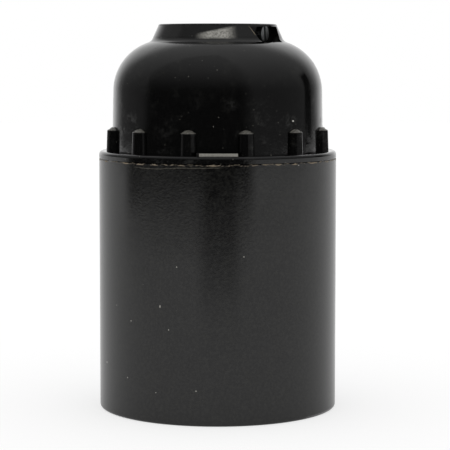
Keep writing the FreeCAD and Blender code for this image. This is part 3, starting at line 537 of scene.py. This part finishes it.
def skirt_flash():
    """Thin broken fin of moulding flash, left along the top edge of the skirt."""
    rng = random.Random(7)
    fin_radius = skirt_radius - 0.06 * MM
    root_sunk = 0.03 * MM
    fin_thickness = 0.05 * MM
    walls_round = 420
    form = bmesh.new()
    bmesh.ops.create_circle(form, segments=walls_round, radius=fin_radius)
    bmesh.ops.translate(form, verts=form.verts, vec=(0, 0, skirt_top - root_sunk))
    # Its top is ragged, and leans in here and there.
    raised = bmesh.ops.extrude_edge_only(form, edges=form.edges)["geom"]
    for part in raised:
        if isinstance(part, bmesh.types.BMVert):
            part.co.z += rng.uniform(0.03, 0.15) * MM
            part.co.xy *= 1 - rng.uniform(0, 0.05) * MM / skirt_radius
    # In turn, a run of walls is gone and a run stays. The walls come in no set order round the
    # skirt, so the gaps scatter, and fall a little differently each run.
    gone = []
    stays = True
    run = 0
    for wall in form.faces:
        if run == 0:
            stays = not stays
            run = rng.randint(2, 9) if stays else rng.randint(1, 12)
        run -= 1
        if not stays:
            gone.append(wall)
    bmesh.ops.delete(form, geom=gone, context="FACES")
    bmesh.ops.solidify(form, geom=form.faces, thickness=fin_thickness)
    new_piece("skirt_flash", form, torn_phenolic, "skirt")


def pocket_burr():
    """Pale torn burr down the front edge of the screw's pocket in the neck."""
    burr_radius = 0.07 * MM
    # Down the edge: angle, depth below the top in mm, and share of the burr's full radius.
    edge = [(30.6, 0.35, 0.3), (32.0, 0.8, 0.8), (34.2, 1.5, 1.0), (36.4, 2.1, 0.9),
            (38.6, 2.6, 0.4)]
    line = bpy.data.curves.new("pocket_burr_line", "CURVE")
    line.dimensions = "3D"
    line.bevel_depth = burr_radius
    line.bevel_resolution = 2
    line.resolution_u = 6
    line.use_fill_caps = True
    spline = line.splines.new("NURBS")
    spline.points.add(len(edge) - 1)
    spline.use_endpoint_u = True
    spline.order_u = 3
    graph = bpy.context.evaluated_depsgraph_get()
    for point, (degrees, drop, share) in zip(spline.points, edge):
        turn = math.radians(degrees)
        outwards = Vector((math.sin(turn), -math.cos(turn), 0))
        start = outwards * skirt_radius + Vector((0, 0, overall_height - drop * MM))
        landing = bpy.context.scene.ray_cast(graph, start, -outwards)[1]
        point.co = (*landing, 1)
        point.radius = share
    holder = bpy.data.objects.new("pocket_burr_line", line)
    form = bmesh.new()
    form.from_mesh(bpy.data.meshes.new_from_object(holder))
    bpy.data.objects.remove(holder)
    new_piece("pocket_burr", form, torn_phenolic, "cap")


def bending_tongue():
    """The centre contact as a strip copied from its solid, with flat faces, in place of the solid."""
    solid = frame["nodes"]["centre_contact"]
    form = bmesh.new()
    form.from_mesh(solid.data)
    bmesh.ops.transform(form, verts=form.verts, matrix=solid.matrix_world)
    bmesh.ops.remove_doubles(form, verts=form.verts, dist=0.001 * MM)
    for face in form.faces:
        face.smooth = False
        face.material_index = 0
    bmesh.ops.recalc_face_normals(form, faces=form.faces)
    tongue = put_in_scene("bending_tongue", form, spring_bronze)
    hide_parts("centre_contact")
    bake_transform(tongue)


bush_thread()
bending_tongue()
terminal_thread("live")
terminal_thread("neutral")
lock_thread()
skirt_flash()
pocket_burr()


# Stage: a pale floor in a white studio. Only gloss sees the dim side of the room, in front.

def floor():
    """Pale paper that takes the object's shadow. Half of what shows of it is its own glow,
    which the object mirrors but isn't lit by."""
    floor_radius = 1.2
    shown_glow = 1.24
    reflected_glow = 0.75
    dim_glow = 0.03
    material, tree, place, surface = new_material("paper_floor")
    paper = add_node(tree, "ShaderNodeBsdfDiffuse", values={"Color": linear("f2f2f2")})
    rays = add_node(tree, "ShaderNodeLightPath")
    direct = add_node(tree, "ShaderNodeMath", {"operation": "MAXIMUM"},
                      links={0: rays.outputs["Is Camera Ray"],
                             1: rays.outputs["Is Transmission Ray"]})
    strength = add_node(tree, "ShaderNodeMapRange",
                        values={"To Min": reflected_glow, "To Max": shown_glow},
                        links={"Value": direct.outputs[0]})
    glow = add_node(tree, "ShaderNodeEmission", values={"Color": (1, 1, 1, 1)},
                    links={"Strength": strength.outputs["Result"]})
    shown = add_node(tree, "ShaderNodeMath", {"operation": "MAXIMUM"},
                     links={0: direct.outputs[0], 1: rays.outputs["Is Glossy Ray"]})
    half = add_node(tree, "ShaderNodeMath", {"operation": "MULTIPLY"}, {1: 0.5},
                    {0: shown.outputs[0]})
    lit = add_node(tree, "ShaderNodeMixShader",
                   links={0: half.outputs[0], 1: paper.outputs["BSDF"],
                          2: glow.outputs["Emission"]})
    # In gloss alone the floor fades into the dim room, and the camera stand shades a strip of
    # it. Each shade grows between two distances, in metres, and lies between two angles.
    angle = around_axis(tree, place)[0]
    distance = add_node(tree, "ShaderNodeVectorMath", {"operation": "LENGTH"},
                        links={0: place}).outputs["Value"]
    shades = []
    for near, far, left, right in ((0.34, 0.52, -88, 26), (0.08, 0.44, -8, 12)):
        fading = add_node(tree, "ShaderNodeMapRange", {"interpolation_type": "SMOOTHSTEP"},
                          {"From Min": near, "From Max": far}, {"Value": distance})
        shades.append(overlap(tree, fading.outputs["Result"],
                              band(tree, angle, left, right, 14)))
    shade = add_node(tree, "ShaderNodeMath", {"operation": "MAXIMUM"},
                     links={0: shades[0], 1: shades[1]}).outputs[0]
    dark = add_node(tree, "ShaderNodeEmission", values={"Strength": dim_glow})
    whole = add_node(tree, "ShaderNodeMixShader",
                     links={0: overlap(tree, shade, rays.outputs["Is Glossy Ray"]),
                            1: lit.outputs["Shader"], 2: dark.outputs["Emission"]})
    tree.links.new(whole.outputs["Shader"], surface)
    form = bmesh.new()
    bmesh.ops.create_circle(form, cap_ends=True, segments=96, radius=floor_radius)
    piece = put_in_scene("floor", form, material)


def surroundings():
    """A white studio that lights the object evenly. In gloss its front is a dim room."""
    daylight = 0.9
    room_shade = 0.03
    ceiling_light = 0.45
    side_light = 0.13
    post_shade = 0.02
    world = bpy.data.worlds.new("studio")
    bpy.context.scene.world = world
    world.use_nodes = True
    tree = world.node_tree
    tree.nodes.clear()
    way = add_node(tree, "ShaderNodeTexCoord").outputs["Generated"]
    angle, rise = around_axis(tree, way)
    above = add_node(tree, "ShaderNodeMath", {"operation": "MAXIMUM"}, {1: 0.0}, {0: rise})
    upward = add_node(tree, "ShaderNodeMath", {"operation": "POWER"}, {1: 1.5},
                      {0: above.outputs[0]})
    room = add_node(tree, "ShaderNodeMath", {"operation": "MULTIPLY_ADD"},
                    {1: ceiling_light, 2: room_shade}, {0: upward.outputs[0]})
    # The room is a little lighter to the right and the far left.
    sides = add_node(tree, "ShaderNodeMath", {"operation": "ADD"},
                     links={0: band(tree, angle, 45, 200, 22),
                            1: band(tree, angle, -200, -92, 16)})
    room = add_node(tree, "ShaderNodeMath", {"operation": "MULTIPLY_ADD"}, {1: side_light},
                    {0: sides.outputs[0], 2: room.outputs[0]})
    # A dark post stands low on the right, a little behind the object.
    post = overlap(tree, band(tree, angle, 112, 122, 3), band(tree, rise, 0.0, 0.3, 0.12))
    room = add_node(tree, "ShaderNodeMix", {"data_type": "FLOAT"}, {"B": post_shade},
                    {"Factor": post, "A": room.outputs[0]})
    # The white backdrop closes the room behind the object.
    turn = add_node(tree, "ShaderNodeMath", {"operation": "ABSOLUTE"}, links={0: angle})
    behind = add_node(tree, "ShaderNodeMapRange", {"interpolation_type": "SMOOTHSTEP"},
                      {"From Min": 124, "From Max": 156}, {"Value": turn.outputs[0]})
    backdrop = overlap(tree, behind.outputs["Result"], band(tree, rise, -1.0, 0.55, 0.3))
    seen = add_node(tree, "ShaderNodeMix", {"data_type": "FLOAT"}, {"B": 1.0},
                    {"Factor": backdrop, "A": room.outputs["Result"]})
    rays = add_node(tree, "ShaderNodeLightPath")
    in_gloss = add_node(tree, "ShaderNodeMix", {"data_type": "FLOAT"}, {"A": daylight},
                        {"Factor": rays.outputs["Is Glossy Ray"], "B": seen.outputs["Result"]})
    plain = add_node(tree, "ShaderNodeMath", {"operation": "MAXIMUM"},
                     links={0: rays.outputs["Is Camera Ray"],
                            1: rays.outputs["Is Transmission Ray"]})
    level = add_node(tree, "ShaderNodeMix", {"data_type": "FLOAT"}, {"B": 1.0},
                     {"Factor": plain.outputs[0], "A": in_gloss.outputs["Result"]})
    light = add_node(tree, "ShaderNodeBackground", values={"Color": (1, 1, 1, 1)},
                     links={"Strength": level.outputs["Result"]})
    add_node(tree, "ShaderNodeOutputWorld", links={"Surface": light.outputs[0]})


floor()
surroundings()

# Camera: a long lens just under the height of the neck, tipped down a little.
degrees_down = 4.43
camera = bpy.data.objects.new("camera", bpy.data.cameras.new("camera"))
bpy.context.scene.collection.objects.link(camera)
camera.data.sensor_width = 36.0
camera.data.lens = 148.7
camera.data.shift_y = -0.072
camera.data.clip_start = 0.01
camera.data.clip_end = 10
camera.location = (1.24 * MM, -0.314, 60.5 * MM)
camera.rotation_euler = (math.radians(90 - degrees_down), 0, 0)
bpy.context.scene.camera = camera

bpy.context.scene.view_settings.view_transform = "Standard"
bpy.context.view_layer.update()
